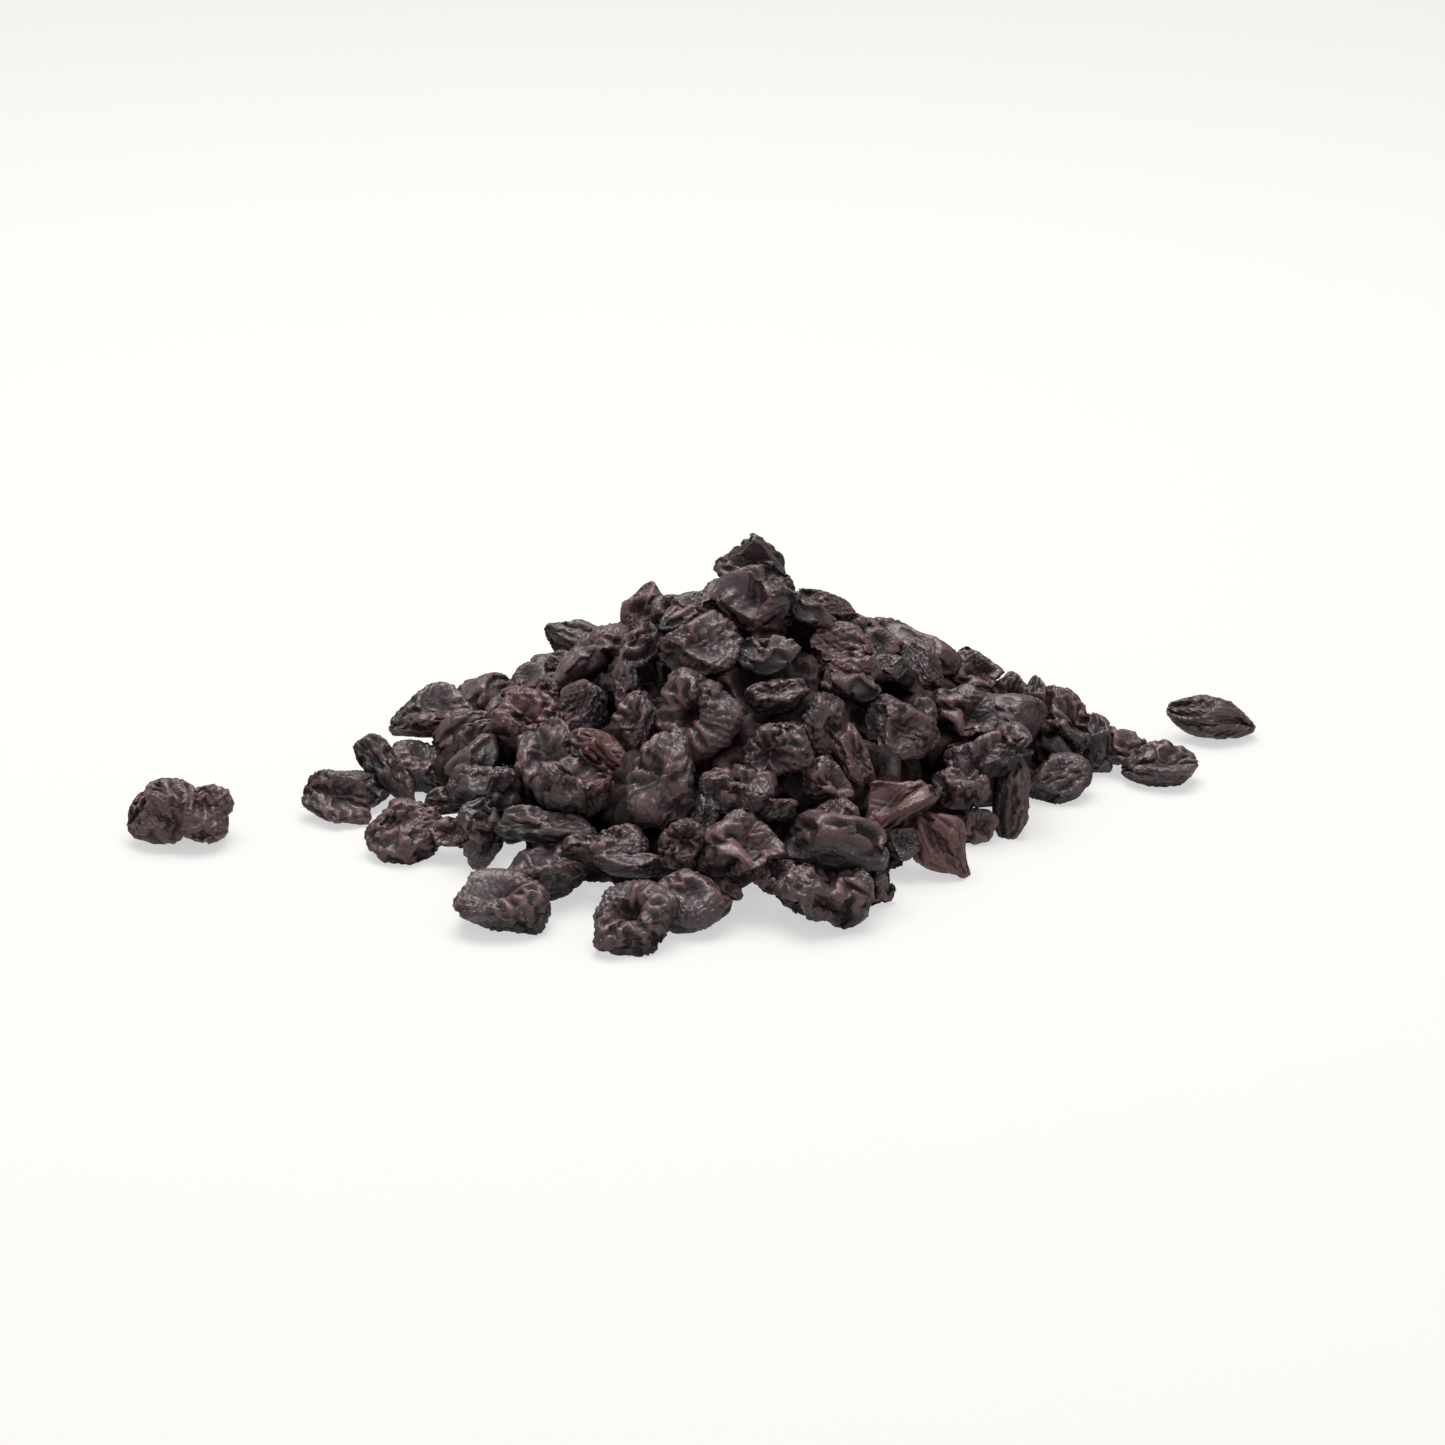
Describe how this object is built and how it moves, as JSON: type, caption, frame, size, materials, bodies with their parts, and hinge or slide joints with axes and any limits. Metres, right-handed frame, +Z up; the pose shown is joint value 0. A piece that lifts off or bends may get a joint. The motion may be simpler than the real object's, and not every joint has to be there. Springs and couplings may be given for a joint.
{
  "type": "dried sour cherries",
  "caption": "Heap of wrinkled dark dried sour cherries lying on a bare surface, with stray cherries beside it, used as loose food or as a garnish.",
  "frame": {"origin": "on the surface the cherries lie on, under the middle of the whole box", "axes": "+X to the right of the picture's view, +Y away from it, +Z up"},
  "size_m": [0.2152, 0.1425, 0.0517],
  "materials": {
    "cherry_skin": "satin, wrinkled"
  },
  "bodies": {
    "root": {"cherry_heap": "cherry_skin", "stray_cherry_left": "cherry_skin", "stray_cherry_right": "cherry_skin"}
  },
  "joints": []
}
